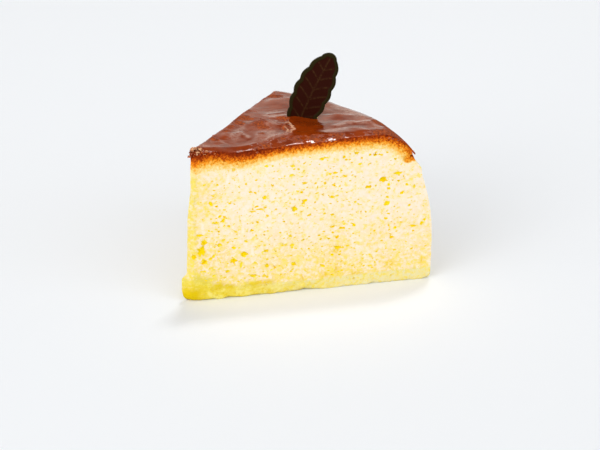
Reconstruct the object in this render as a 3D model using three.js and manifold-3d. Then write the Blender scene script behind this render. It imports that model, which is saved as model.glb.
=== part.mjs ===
// A slice of tall baked cheesecake: one deep soft crumb whose top is rounded over
// and browned, a thin sponge base that runs through it, and a chocolate leaf
// standing in the top. Units are millimetres and +Z is up. The tip of the slice
// points to -X, the round rim to +X, and the slice's middle line is the X axis.

import * as THREE from 'three';
import { ImprovedNoise } from 'three/addons/math/ImprovedNoise.js';
import { mergeVertices } from 'three/addons/utils/BufferGeometryUtils.js';
import Module from 'manifold-3d';

const { lerp, smoothstep, degToRad, seededRandom } = THREE.MathUtils;
const wasm = await Module();
wasm.setup();

// The whole cake that the slice was cut from
const cakeRadius = 90.7;
const cakeHeight = 57.2;
const sliceAngle = degToRad(50.1);

// The tip is blunt and has sagged to one side, a little more in its lower half, and
// ends in a swollen foot. A swelling fades out between its two heights.
const tipRound = 1.2;
const tipSag = 0.75;
const tipSagLow = 0.95;
const tipSagHeights = [28, 42];
const footSwell = 1.8;
const footHeights = [8, 11];
const tipTurn = degToRad(43.5);
const tipFade = 5;
const tipFrontShare = 0.2;

// The top sinks near the tip, less towards the back cut, and bends down to the rim in
// a quarter ellipse
const tipSink = 0.5;
const tipSinkWidth = 6;
const topSink = 1.9;
const topSinkReach = 18;
const topSinkWidth = 11.5;
const topSinkLessAtBack = 0.8;
const shoulderDrop = 44.2;
const shoulderReach = 18.7;
const shoulderMoreAtFront = 3.4;
const shoulderLessAtBack = 1.9;
const rimTuck = 0.4;
const rimTuckHeight = 9;

// The sponge base is thickest at the tip
const baseThickness = 4;
const baseExtraAtTip = 2;
const baseExtraAtRim = 0.5;
const baseExtraFade = 14;
const baseWave = 0.25;
const baseEdgeRound = 1;
const footEdgeRound = 2.8;
const footEdgeFade = 6;
const layerGap = 0.3;

// Unevenness: how far the surface moves and how long each bump is
const cutRelief = [{ amount: 0.3, length: 14 }, { amount: 0.14, length: 5 }];
const topRelief = [{ amount: 0.45, length: 22 }, { amount: 0.3, length: 9 }];
const rimRelief = [{ amount: 0.5, length: 20 }, { amount: 0.2, length: 7 }];

// How finely each layer is divided from tip to rim, across, and upwards
const crumbGrid = [34, 14, 19];
const baseGrid = [34, 14, 5];

// Pores on the cut faces. The named ones are the largest on the front cut:
// distance from the tip, height, half length, half height.
const namedPores = [
  [71.2, 39.3, 1.0, 0.8],
  [74.1, 42.1, 1.2, 0.35],
  [38.0, 31.8, 0.9, 0.8],
  [37.0, 48.0, 0.7, 0.4],
  [41.5, 41.2, 0.9, 0.4],
  [52.1, 35.0, 1.0, 0.4],
  [41.7, 34.5, 0.8, 0.5],
  [36.7, 21.7, 0.8, 0.4],
  [26.8, 37.0, 0.7, 0.6],
  [75.0, 17.5, 0.8, 0.5],
  [4.8, 21.8, 0.8, 1.1],
  [4.6, 18.6, 0.9, 1.2],
  [5.4, 15.0, 0.9, 0.6],
];
const drawnPores = 46;
const poreSeed = 11;
const poreHalfLength = [0.4, 0.85];
const poreHeightShare = [0.45, 0.8];
const poreDepthShare = 0.75;
const poreEdgeMargin = 2.5;
const poreCrustMargin = 7;

// The browned skin has come loose where the shoulder meets the front cut. Its ends
// are shares of the shoulder's quarter turn.
const flapFrom = 0.18;
const flapTo = 0.435;
const flapWidth = 7;
const flapRoot = 1.2;
const flapEdge = 0.5;
const flapLift = 2.1;
const flapRagged = 0.035;
const flapGrid = [5, 6, 1];
const tearAt = 0.465;
const tearSize = [1.7, 3.4, 1.2];

// The chocolate leaf, and how it stands
const leafLength = 34.4;
const leafHalfWidth = 6;
const leafFullness = 0.52;
const leafSkew = 1.1;
const leafBow = 0.62;
const leafThickness = 1.8;
const leafBevel = 0.25;
const leafScallop = 0.6;
const leafScallopLength = 5.46;
const leafScallopStart = [0.35, 0.48];
const leafSteps = 42;
const leafFoot = new THREE.Vector2(54, 1.8);
const leafSunk = 8.2;
const leafTurn = degToRad(-43.5);
const leafLean = degToRad(23.3);
const leafGap = 0.3;

const crumbMaterial = new THREE.MeshStandardMaterial({ color: '#fdedc2', roughness: 0.8, metalness: 0 });
const baseMaterial = new THREE.MeshStandardMaterial({ color: '#f0dc73', roughness: 0.85, metalness: 0 });
const leafMaterial = new THREE.MeshStandardMaterial({ color: '#2d160a', roughness: 0.35, metalness: 0 });

const field = new ImprovedNoise();

// The sum of smooth bumps of several lengths at a point
function bumps(layers, x, y, z) {
  let total = 0;
  for (const { amount, length } of layers) {
    total += amount * field.noise(x / length, y / length, z / length);
  }
  return total;
}

// A hump that is 1 at its centre and fades out over its width
function hump(distance, width) {
  return Math.exp(-((distance / width) ** 2));
}

// Height of the line between the sponge base and the crumb
function layerLine(reach, across) {
  const thickness = baseThickness
    + baseExtraAtTip * Math.exp(-reach / baseExtraFade)
    + baseExtraAtRim * smoothstep(reach, cakeRadius / 2, cakeRadius);
  return thickness + baseWave * field.noise(reach / 6, across * 3, 0.5);
}

// Puts a point of the slice in space from its distance to the tip, its place
// between the front cut (0) and the back cut (1), and its height
function place(reach, across, height) {
  const turn = (across - 0.5) * sliceAngle;
  const side = 2 * across - 1;
  const tuck = rimTuck * (reach / cakeRadius) ** 8 * (1 - smoothstep(height, 0, rimTuckHeight));
  const point = new THREE.Vector3(
    (reach - tuck) * Math.cos(turn),
    (reach - tuck) * Math.sin(turn),
    height,
  );

  const sag = tipSag
    + tipSagLow * (1 - smoothstep(height, ...tipSagHeights))
    + footSwell * (1 - smoothstep(height, ...footHeights));
  const nearTip = Math.exp(-(reach - tipRound) / tipFade) * (1 - (1 - tipFrontShare) * (1 - across) ** 4);
  point.x -= sag * nearTip * Math.cos(tipTurn);
  point.y += sag * nearTip * Math.sin(tipTurn);

  const cutBump = bumps(cutRelief, point.x, 40 * side, height) * Math.abs(side) ** 3;
  point.x -= cutBump * Math.sin(sliceAngle / 2);
  point.y += cutBump * Math.cos(sliceAngle / 2) * Math.sign(side);

  const rimBump = bumps(rimRelief, 90, point.y, height) * smoothstep(reach, 0.6 * cakeRadius, cakeRadius);
  point.x += rimBump * Math.cos(turn);
  point.y += rimBump * Math.sin(turn);
  return point;
}

// How far in from the rim the top starts to bend down
function shoulderBend(across) {
  return shoulderReach + shoulderMoreAtFront * (1 - across) ** 18 - shoulderLessAtBack * across ** 2;
}

// A point of the crumb: along from tip to rim, across from cut to cut, up from 0 to 1
function crumbPoint(along, across, up) {
  const bend = shoulderBend(across);
  let reach = lerp(tipRound, cakeRadius, along);
  const floor = layerLine(reach, across) + layerGap / 2;
  let height = lerp(floor, cakeHeight, up);

  const outward = (reach - cakeRadius + bend) / bend;
  const upward = (height - cakeHeight + shoulderDrop) / shoulderDrop;
  if (outward > 0 && upward > 0) {
    reach = cakeRadius - bend + bend * outward * Math.sqrt(1 - upward ** 2 / 2);
    height = cakeHeight - shoulderDrop + shoulderDrop * upward * Math.sqrt(1 - outward ** 2 / 2);
  }

  const point = place(reach, across, height);
  const sinkShare = 1 - topSinkLessAtBack * across ** 2;
  const sink = topSink * sinkShare * hump(reach - topSinkReach, topSinkWidth) + tipSink * hump(reach, tipSinkWidth);
  point.z += (bumps(topRelief, point.x, point.y, 3) - sink) * up ** 4;
  return point;
}

// How far a rounded bottom edge lies inside its side at some height
function edgeInset(height, round) {
  const below = Math.max(0, 1 - height / round);
  return round * (1 - Math.sqrt(1 - below ** 2));
}

// A point of the sponge base. Its rows crowd towards the rounded bottom edge, and the
// foot under the tip is rounded more than the sides.
function basePoint(along, across, up) {
  const reach = lerp(tipRound, cakeRadius, along);
  const height = (layerLine(reach, across) - layerGap / 2) * up ** 2;
  const point = place(reach, across, height);

  const wave = 1 + 0.5 * field.noise(reach / 9, across * 2, 7);
  const sideRound = Math.min(baseEdgeRound * wave, 0.8 * reach * Math.sin(sliceAngle / 2));
  const endRound = baseEdgeRound * wave + footEdgeRound * Math.exp(-reach / footEdgeFade);
  const side = 2 * across - 1;
  const sideInset = edgeInset(height, sideRound);
  point.x += edgeInset(height, endRound) * (1 - 2 * along) + sideInset * side ** 2 * Math.sin(sliceAngle / 2);
  point.y -= sideInset * side * Math.cos(sliceAngle / 2);
  return point;
}

// Bends a box into a layer of the slice
function layerGeometry(pointAt, [alongSteps, acrossSteps, upSteps]) {
  const box = new THREE.BoxGeometry(1, 1, 1, alongSteps, acrossSteps, upSteps);
  const position = box.attributes.position;
  for (let i = 0; i < position.count; i += 1) {
    const point = pointAt(position.getX(i) + 0.5, position.getY(i) + 0.5, position.getZ(i) + 0.5);
    position.setXYZ(i, point.x, point.y, point.z);
  }
  return box;
}

function solidFrom(geometry) {
  const bare = geometry.clone();
  bare.deleteAttribute('normal');
  bare.deleteAttribute('uv');
  const welded = mergeVertices(bare, 1e-4);
  return new wasm.Manifold(new wasm.Mesh({
    numProp: 3,
    vertProperties: new Float32Array(welded.attributes.position.array),
    triVerts: new Uint32Array(welded.index.array),
  }));
}

function geometryFrom(solid) {
  const { vertProperties, triVerts } = solid.getMesh();
  const geometry = new THREE.BufferGeometry();
  geometry.setAttribute('position', new THREE.BufferAttribute(new Float32Array(vertProperties), 3));
  geometry.setIndex(new THREE.BufferAttribute(new Uint32Array(triVerts), 1));
  geometry.computeVertexNormals();
  return geometry;
}

// One pore, pressed into the front cut (across 0) or the back cut (across 1)
function poreSolid(reach, height, across, halfLength, halfHeight) {
  const pore = new THREE.IcosahedronGeometry(1, 0);
  pore.rotateY(seededRandom() * Math.PI);
  pore.scale(halfLength, halfLength * poreDepthShare, halfHeight);
  pore.rotateY((seededRandom() - 0.5) * 0.8);
  pore.rotateZ((across - 0.5) * sliceAngle);
  const centre = place(reach, across, height);
  pore.translate(centre.x, centre.y, centre.z);
  return solidFrom(pore);
}

// Pores crowd towards the tip and the bottom of the slice
function drawPore(across) {
  const margin = layerLine(0, across) + poreEdgeMargin;
  for (;;) {
    const reach = lerp(2 * poreEdgeMargin, cakeRadius - poreEdgeMargin, seededRandom());
    const height = lerp(margin, cakeHeight - poreCrustMargin, seededRandom());
    const crowding = 1 - (reach / cakeRadius + height / cakeHeight) / 2;
    const bend = shoulderBend(across);
    const outward = Math.max(0, reach - cakeRadius + bend) / bend;
    const upward = Math.max(0, height - cakeHeight + shoulderDrop) / shoulderDrop;
    const inside = outward ** 2 + upward ** 2 < 0.75;
    if (inside && seededRandom() < 0.3 + crowding) {
      const halfLength = lerp(...poreHalfLength, seededRandom() ** 2);
      const halfHeight = halfLength * lerp(...poreHeightShare, seededRandom());
      return poreSolid(reach, height, across, halfLength, halfHeight);
    }
  }
}

// A point on the shoulder's curve in the front cut, lifted off it by some distance.
// The turn is 0 where the shoulder starts and 1 at its foot.
function shoulderPoint(turn, lift) {
  const angle = turn * Math.PI / 2;
  const bend = shoulderBend(0);
  return new THREE.Vector2(
    cakeRadius - bend + (bend + lift) * Math.sin(angle),
    cakeHeight - shoulderDrop + (shoulderDrop + lift) * Math.cos(angle),
  );
}

// A point of the skin's loose edge: a strip that follows the shoulder and lifts off
// it towards its ragged lower end, most of all at the front cut
function flapPoint(along, across, up) {
  const ragged = flapRagged * (across + field.noise(5 * across, 0.3, 0));
  const skin = lerp(flapRoot, flapEdge, along);
  const lift = flapLift * along ** 0.75 * (1 - across);
  const shoulder = shoulderPoint(lerp(flapFrom, flapTo - ragged, along), lift - flapEdge + (up - 1) * skin);
  return new THREE.Vector3(shoulder.x, layerGap + across * flapWidth, shoulder.y);
}

function flapSolid() {
  const strip = layerGeometry(flapPoint, flapGrid);
  strip.rotateZ(-sliceAngle / 2);
  return solidFrom(strip);
}

// The hollow that the torn skin has left under its loose edge
function tearSolid() {
  const hollow = new THREE.IcosahedronGeometry(1, 1);
  hollow.scale(...tearSize);
  const centre = shoulderPoint(tearAt, 0.3);
  hollow.translate(centre.x, 0, centre.y);
  hollow.rotateZ(-sliceAngle / 2);
  return solidFrom(hollow);
}

// How far one edge of the leaf lies from its middle line. The scallops of the two
// edges start at different shares of a scallop.
function leafHalf(share, scallopStart) {
  const body = leafHalfWidth * Math.sin(Math.PI * share ** leafSkew) ** leafFullness;
  const scallop = Math.abs(Math.cos(Math.PI * (share * leafLength / leafScallopLength - scallopStart)));
  return body + leafScallop * scallop * smoothstep(body, 0, leafHalfWidth / 2);
}

// The leaf's outline: a blunt, slightly bowed oval with scalloped edges, grown by a margin
function leafShape(margin) {
  const right = [];
  const left = [];
  for (let i = 1; i < leafSteps; i += 1) {
    const share = i / leafSteps;
    const middle = -leafBow * Math.sin(Math.PI * share);
    const height = lerp(-margin, leafLength + margin, share);
    left.unshift(new THREE.Vector2(middle - leafHalf(share, leafScallopStart[0]) - margin, height));
    right.push(new THREE.Vector2(middle + leafHalf(share, leafScallopStart[1]) + margin, height));
  }
  const foot = new THREE.Vector2(0, -margin);
  const tip = new THREE.Vector2(0, leafLength + margin);
  return new THREE.Shape([foot, ...right, tip, ...left]);
}

// Stands a leaf outline up in the top of the slice, leaning to its right
function leafGeometry(margin) {
  const bevel = margin > 0 ? 0 : leafBevel;
  const depth = leafThickness + 2 * margin - 2 * bevel;
  const leaf = new THREE.ExtrudeGeometry(leafShape(margin), {
    depth,
    bevelEnabled: bevel > 0,
    bevelThickness: bevel,
    bevelSize: bevel,
    bevelSegments: 1,
  });
  leaf.translate(0, -leafSunk, -depth / 2);
  leaf.rotateZ(-leafLean);
  leaf.rotateX(Math.PI / 2);
  leaf.rotateZ(leafTurn);
  leaf.translate(leafFoot.x, leafFoot.y, cakeHeight);
  return leaf;
}

function crumbGeometry() {
  seededRandom(poreSeed);
  const pores = namedPores.map(([reach, height, halfLength, halfHeight]) => (
    poreSolid(reach, height, 0, halfLength, halfHeight)
  ));
  for (let i = 0; i < 2 * drawnPores; i += 1) {
    pores.push(drawPore(i % 2));
  }
  const hollows = [...pores, tearSolid(), solidFrom(leafGeometry(leafGap))];
  const crumb = solidFrom(layerGeometry(crumbPoint, crumbGrid));
  return geometryFrom(crumb.add(flapSolid()).subtract(wasm.Manifold.union(hollows)));
}

function namedMesh(name, geometry, material) {
  const mesh = new THREE.Mesh(geometry, material);
  mesh.name = name;
  return mesh;
}

const pieces = new THREE.Group();
pieces.add(
  namedMesh('cheese_crumb', crumbGeometry(), crumbMaterial),
  namedMesh('sponge_base', layerGeometry(basePoint, baseGrid), baseMaterial),
  namedMesh('chocolate_leaf', leafGeometry(0), leafMaterial),
);

// The origin is the middle of the slice's footprint
const bounds = new THREE.Box3().setFromObject(pieces, true);
const middle = bounds.getCenter(new THREE.Vector3());
pieces.position.set(-middle.x, -middle.y, -bounds.min.z);

const cheesecakeSlice = new THREE.Group();
cheesecakeSlice.add(pieces);

export default cheesecakeSlice;
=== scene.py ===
import math

import bmesh
import bpy
import numpy as np
from mathutils import Matrix, Vector, noise


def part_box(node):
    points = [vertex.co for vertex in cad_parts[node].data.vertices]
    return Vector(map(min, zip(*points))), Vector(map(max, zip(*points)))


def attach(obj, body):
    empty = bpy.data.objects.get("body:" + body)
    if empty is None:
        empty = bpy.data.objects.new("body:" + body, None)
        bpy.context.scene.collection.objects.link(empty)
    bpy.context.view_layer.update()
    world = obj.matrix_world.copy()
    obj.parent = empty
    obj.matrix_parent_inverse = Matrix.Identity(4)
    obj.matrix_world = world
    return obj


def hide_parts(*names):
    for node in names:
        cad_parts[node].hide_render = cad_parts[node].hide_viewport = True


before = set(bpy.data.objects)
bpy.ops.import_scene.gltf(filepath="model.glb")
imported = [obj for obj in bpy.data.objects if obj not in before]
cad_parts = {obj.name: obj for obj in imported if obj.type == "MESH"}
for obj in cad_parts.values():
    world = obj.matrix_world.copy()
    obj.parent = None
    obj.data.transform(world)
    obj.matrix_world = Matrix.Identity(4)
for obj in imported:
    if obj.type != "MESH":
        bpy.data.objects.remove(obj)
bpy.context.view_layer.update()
mm = 0.001
tiny = 1e-6

# the form of the slice, as the solids have it
form = {
    "radius": 90.7,
    "rimReach": 90.632,  # how far the crumb's rim gets from the tip
    "height": 57.2,
    "angle": math.radians(50.1),
    "tipRound": 1.2, "tipSag": 0.75, "tipSagLow": 0.95, "tipSagHeights": (28, 42),
    "footSwell": 1.8, "footHeights": (8, 11),
    "tipTurn": math.radians(43.5),
    "tipFade": 5, "tipFrontShare": 0.2, "tipFrontPower": 4,
    "tipSink": 0.5, "tipSinkWidth": 6,
    "topSink": 1.9, "topSinkReach": 18, "topSinkWidth": 11.5, "topSinkLessAtBack": 0.8,
    "shoulderDrop": 44.2, "shoulderReach": 18.7, "shoulderLessAtBack": 1.9,
    "shoulderMoreAtFront": 3.4, "shoulderFrontPower": 18,
    "rimTuck": 0.4, "rimTuckHeight": 9, "rimTuckPower": 8,
    "baseThickness": 4, "baseExtraAtTip": 2, "baseExtraAtRim": 0.5, "baseExtraFade": 14,
    "baseWave": (0.25, 6, 3, 0.5),  # height, length, how often across, seed
    "baseEdgeRound": 1, "footEdgeRound": 2.8, "footEdgeFade": 6,
    "skin": 1.8,  # thickness of the browned, glazed top
}

# unevenness: how far the surface moves, and how long each bump is
relief = {
    "cut": [(0.3, 14), (0.14, 5), (0.1, 1.9), (0.06, 0.9)], "cutSpread": 40, "cutPower": 3,
    "top": [(0.45, 22), (0.3, 9)], "topSeed": 3,
    "rim": [(0.5, 20), (0.2, 7), (0.08, 1.8)], "rimSeed": 90, "rimFrom": 0.6,
}

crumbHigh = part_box("cheese_crumb")[1]
tipX = crumbHigh.x / mm - form["rimReach"]  # the slice's tip in the row frame
leastX = 0.01  # points behind the tip keep their side
frontHalf, backHalf = (0.5001, 0.4999), (0.4999, 0.5001)  # limits of the place between the cuts


def hump(distance, width=1):  # 1 in the middle, fading out over its width
    return np.exp(-((distance / width) ** 2))


def ease(value, low, high):  # 0 at low, 1 at high, smooth between
    share = np.clip((value - low) / (high - low), 0, 1)
    return share * share * (3 - 2 * share)


def between(value, low, fullLow, fullHigh, high):  # 1 from fullLow to fullHigh, 0 outside
    return ease(value, low, fullLow) * ease(value, high, fullHigh)


def zone(limits, at):  # 1 where every measure named in the limits is past them
    share = 1
    for name, ends in limits.items():
        share = share * ease(at[name], *ends)
    return share


def strongest(zones, at):  # zones: (strength, limits)
    return np.maximum.reduce([strength * zone(limits, at) for strength, limits in zones])


def mix(a, b, share):
    return a + (b - a) * share


def bumps(layers, x, y, z):  # smooth bumps of several lengths, added up
    x, y, z = np.broadcast_arrays(x, y, z)
    points = np.stack([x.ravel(), y.ravel(), z.ravel()], 1)
    total = np.zeros(len(points))
    for amount, length in layers:
        total += amount * np.array([noise.noise(Vector(p)) for p in points / length])
    return total.reshape(x.shape)


def flatBumps(values, x, y):  # values: a seed, then the layers
    return bumps(values[1:], x, y, values[0])


def layerLine(reach, across):  # height of the line between base and crumb
    thickness = form["baseThickness"]
    thickness = thickness + form["baseExtraAtTip"] * np.exp(-reach / form["baseExtraFade"])
    thickness = thickness + form["baseExtraAtRim"] * ease(reach, form["radius"] / 2, form["radius"])
    height, length, spread, seed = form["baseWave"]
    return thickness + bumps([(height, 1)], reach / length, across * spread, seed)


def shoulderBend(across):  # how far in from the rim the top starts to bend down
    front = form["shoulderMoreAtFront"] * (1 - across) ** form["shoulderFrontPower"]
    return form["shoulderReach"] + front - form["shoulderLessAtBack"] * across ** 2


def topSinking(reach, across):
    share = 1 - form["topSinkLessAtBack"] * across ** 2
    sink = form["topSink"] * share * hump(reach - form["topSinkReach"], form["topSinkWidth"])
    return sink + form["tipSink"] * hump(reach, form["tipSinkWidth"])


def topRelief(reach, across, x, y):
    return bumps(relief["top"], x, y, relief["topSeed"]) - topSinking(reach, across)


# puts points of the slice in space from their distance to the tip, their place
# between the front cut (0) and the back cut (1), and their height
def place(reach, across, height):
    half = form["angle"] / 2
    side = 2 * across - 1
    turn = side * half
    tuck = form["rimTuck"] * (reach / form["radius"]) ** form["rimTuckPower"]
    tuck = tuck * (1 - ease(height, 0, form["rimTuckHeight"]))
    x = (reach - tuck) * np.cos(turn)
    y = (reach - tuck) * np.sin(turn)
    sag = form["tipSag"] + form["tipSagLow"] * (1 - ease(height, *form["tipSagHeights"]))
    sag = sag + form["footSwell"] * (1 - ease(height, *form["footHeights"]))
    nearTip = np.exp(-(reach - form["tipRound"]) / form["tipFade"])
    less = (1 - form["tipFrontShare"]) * (1 - across) ** form["tipFrontPower"]
    nearTip = nearTip * (1 - less)
    x = x - sag * nearTip * math.cos(form["tipTurn"])
    y = y + sag * nearTip * math.sin(form["tipTurn"])
    cut = bumps(relief["cut"], x, relief["cutSpread"] * side, height)
    cut = cut * np.abs(side) ** relief["cutPower"]
    x = x - cut * math.sin(half)
    y = y + cut * math.cos(half) * np.sign(side)
    rim = bumps(relief["rim"], relief["rimSeed"], y, height)
    rim = rim * ease(reach, relief["rimFrom"] * form["radius"], form["radius"])
    return x + rim * np.cos(turn), y + rim * np.sin(turn), height + 0 * x


def newObject(name, data):
    made = bpy.data.objects.new(name, data)
    bpy.context.scene.collection.objects.link(made)
    return made


# a closed mesh bent from a box: each lattice point of its six sides goes to pointAt;
# steps: how many even ones each way, or where they lie
def bentBox(name, pointAt, *steps):
    shares = [np.linspace(0, 1, step + 1) if isinstance(step, int) else step for step in steps]
    outer = np.zeros([len(share) for share in shares], bool)
    for axis in range(3):
        np.moveaxis(outer, axis, 0)[[0, -1]] = True
    index = np.full(outer.shape, -1)
    index[outer] = np.arange(outer.sum())
    lattice = np.argwhere(outer)
    x, y, z = pointAt(*(share[lattice[:, axis]] for axis, share in enumerate(shares)))
    points = np.stack([x + tipX, y, z], 1) * mm
    quads = []
    for sheet, outward in (
        (index[:, :, -1], True), (index[:, :, 0], False),
        (index[:, 0, :], True), (index[:, -1, :], False),
        (index[-1, :, :], True), (index[0, :, :], False),
    ):
        quad = np.stack([sheet[:-1, :-1], sheet[1:, :-1], sheet[1:, 1:], sheet[:-1, 1:]], -1)
        quads.append(quad.reshape(-1, 4)[:, ::1 if outward else -1])
    mesh = bpy.data.meshes.new(name)
    mesh.from_pydata(points.tolist(), [], np.concatenate(quads).tolist())
    mesh.update()
    return newObject(name, mesh)


def pointsOf(mesh):  # vertices in the slice's own millimetres
    co = np.zeros(len(mesh.vertices) * 3)
    mesh.vertices.foreach_get("co", co)
    co = co.reshape(-1, 3) / mm
    return co[:, 0] - tipX, co[:, 1], co[:, 2]


# distance to the tip, place between the cuts, height, and how far behind the nearer cut
def measuresOf(mesh):
    x, y, z = pointsOf(mesh)
    half = form["angle"] / 2
    return {
        "reach": np.hypot(x, y),
        "across": np.arctan2(y, np.maximum(x, leastX)) / form["angle"] + 0.5,
        "height": z,
        "behind": x * math.sin(half) - np.abs(y) * math.cos(half),
    }


def setAttributes(mesh, **fields):
    for name, values in fields.items():
        if name in mesh.attributes:  # a cut piece can have the cutter's
            mesh.attributes.remove(mesh.attributes[name])
        attribute = mesh.attributes.new(name, "FLOAT", "POINT")
        attribute.data.foreach_set("value", np.asarray(values, np.float32))


def smoothPiece(piece, angle=60):
    piece.data.shade_smooth()
    piece.data.set_sharp_from_angle(angle=math.radians(angle))


# node helpers

colourA, colourB, colourResult = 6, 7, 2  # the Mix node's sockets for colours


def newNode(tree, kind, inputs=None, **settings):
    node = tree.nodes.new(kind)
    for key, value in settings.items():
        setattr(node, key, value)
    for key, value in (inputs or {}).items():
        if isinstance(value, bpy.types.NodeSocket):
            tree.links.new(value, node.inputs[key])
        else:
            node.inputs[key].default_value = value
    return node


def paint(red, green, blue):  # a colour seen on screen, 0 to 255, as a shader takes it
    def straight(c):
        c = c / 255
        return c / 12.92 if c <= 0.04045 else ((c + 0.055) / 1.055) ** 2.4
    return (straight(red), straight(green), straight(blue), 1)


def newMaterial(name):
    material = bpy.data.materials.new(name)
    material.use_nodes = True
    material.node_tree.nodes.clear()
    return material, material.node_tree


def finishMaterial(tree, colour, roughness, normal=None, others=None):
    inputs = {"Base Color": colour, "Roughness": roughness, **(others or {})}
    if normal:
        inputs["Normal"] = normal
    shader = newNode(tree, "ShaderNodeBsdfPrincipled", inputs)
    newNode(tree, "ShaderNodeOutputMaterial", {"Surface": shader.outputs["BSDF"]})


def objectNoise(tree, length, detail=2, roughness=0.5, stretch=None):  # bumps this long
    where = newNode(tree, "ShaderNodeTexCoord").outputs["Object"]
    if stretch:
        inputs = {"Vector": where, "Scale": stretch}
        where = newNode(tree, "ShaderNodeMapping", inputs).outputs["Vector"]
    return newNode(tree, "ShaderNodeTexNoise", {
        "Vector": where, "Scale": 1 / (length * mm), "Detail": detail, "Roughness": roughness,
    }).outputs["Fac"]


def attributeValue(tree, name):
    return newNode(tree, "ShaderNodeAttribute", attribute_name=name).outputs["Fac"]


def calculated(operation, a, b, clamp=False):
    settings = {"operation": operation, "use_clamp": clamp}
    return newNode(a.id_data, "ShaderNodeMath", {0: a, 1: b}, **settings).outputs[0]


def plus(a, b, clamp=False):
    return calculated("ADD", a, b, clamp)


def times(a, b):
    return calculated("MULTIPLY", a, b)


def rangeOf(value, low, high, outLow=0, outHigh=1):
    return newNode(value.id_data, "ShaderNodeMapRange", {
        "Value": value, "From Min": low, "From Max": high, "To Min": outLow, "To Max": outHigh,
    }).outputs["Result"]


def mixValue(share, a, b):
    return rangeOf(share, 0, 1, a, b)


# values: bump length, detail, roughness, the noise's range, and what that turns into
def pattern(tree, values, stretch=None):
    length, detail, roughness, *ends = values
    return rangeOf(objectNoise(tree, length, detail, roughness, stretch), *ends)


def blendColours(share, a, b, blend="MIX"):
    inputs = {"Factor": share, colourA: a, colourB: b}
    node = newNode(share.id_data, "ShaderNodeMix", inputs, data_type="RGBA", blend_type=blend)
    return node.outputs[colourResult]


def colourSteps(value, steps):  # steps: (place, colour)
    node = newNode(value.id_data, "ShaderNodeValToRGB", {"Fac": value})
    ramp = node.color_ramp
    while len(ramp.elements) < len(steps):
        ramp.elements.new(0.5)
    for element, (position, colour) in zip(ramp.elements, steps):
        element.position = position
        element.color = colour
    return node.outputs["Color"]


def bumpNormal(height, distance, strength):
    return newNode(height.id_data, "ShaderNodeBump", {
        "Height": height, "Distance": distance * mm, "Strength": strength,
    }).outputs["Normal"]


def gritNormal(tree, distance, strength, *noises):  # noises: bump length, detail, roughness
    height = objectNoise(tree, *noises[0])
    for values in noises[1:]:
        height = plus(height, objectNoise(tree, *values))
    return bumpNormal(height, distance, strength)


# the materials; grit: how high, strength, then its noises

softInputs = {"Specular IOR Level": 0.06, "Subsurface Weight": 0.15, "Subsurface Scale": 0.001}

crumbLook = {
    "cream": paint(231, 214, 186), "creamLow": paint(228, 204, 148),
    # tipYellow: along the tip's edge, a painted glow of light through the thin tip, darkened as
    # painted shade; also the yellow low at the foot
    "fleck": paint(229, 206, 72), "bright": paint(234, 218, 206), "tipYellow": paint(206, 189, 78),
    "crust": [
        (0, paint(94, 25, 2)), (0.19, paint(114, 34, 2)), (0.32, paint(146, 54, 5)),
        (0.42, paint(190, 90, 10)), (0.51, paint(212, 122, 18)), (0.62, paint(226, 162, 56)),
        (0.74, paint(230, 190, 108)), (0.88, paint(231, 207, 150)), (1, paint(231, 215, 185)),
    ],
    "crustLimits": (1, 0.85),
    "patches": (9, 2, 0.5, 0.3, 0.7, -0.25, 0.25),
    "brightness": (1.3, 2, 0.6, 0.5, 0.4, 0, 0.6),
    "blotches": (3.2, 3, 0.6, 0.35, 0.65, -0.4, 0.4),
    "grain": (0.9, 3, 0.65, 0.25, 0.75, -0.5, 0.5), "grainShare": 0.36,
    # yellow flecks: length, where the noise begins and ends to show them, strength
    "flecks": [(2.6, 0.5, 0.68, 0.3), (1.3, 0.62, 0.65, 0.6), (0.7, 0.64, 0.67, 0.6)],
    "fleckNoise": (2, 0.55),
    "flecksInYellow": 0.24, "flecksLow": 0.025,
    "dots": (0.6, 2, 0.6, 0.36, 0.64), "dotLimits": (0.7, 0.4),
    "dotDark": (0.62, 0.52, 0.4, 1), "dotBright": (1.4, 1.5, 1.5, 1),
    "stretch": (0.85, 0.85, 1.05),
    "grit": (0.08, 0.5, (0.45, 3, 0.6), (1.6, 2)),
    "roughness": 0.85, "scatter": (1, 0.6, 0.25),
}
spongeLook = {
    # dark: a darker yellow for mottling and soaked places, and painted shade at the foot
    "yellow": paint(218, 196, 58), "dark": paint(210, 181, 10), "smear": paint(222, 188, 50),
    "pale": paint(217, 209, 172), "paleToo": paint(224, 209, 152), "light": paint(226, 212, 112),
    "mottle": (1.4, 3, 0.65, 0.35, 0.65),
    "wander": (3, 4, 0.7, 0.3, 0.7, -1.4, 1.4), "wanderStretch": (0.7, 0.7, 1),
    "layerLimits": (0.9, -0.7),
    "paleShares": (0.95, 0.1),  # how much yellow there is where paleness is 0 and 1
    "hollows": (1.7, 4, 0.65, (0.8, 0.8, 1)),
    "lightLimits": (0.48, 0.36), "darkLimits": (0.52, 0.62), "darkShare": 0.8,
    "smearing": (1.1, 3, 0.65, 0.38, 0.56),
    "grit": (0.2, 0.6, (0.5, 3, 0.6), (1.4, 2)),
    "roughness": 0.85, "scatter": (1, 0.6, 0.2),
}
poreLook = {
    "shallow": paint(232, 212, 60), "deep": paint(236, 205, 4), "depthLimits": (0, 0.28),
    "crustLimits": (1, 0.7), "grit": (0.05, 0.6, (0.3, 2)),
    "roughness": 0.7, "scatter": (1, 0.6, 0.25),
}
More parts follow.
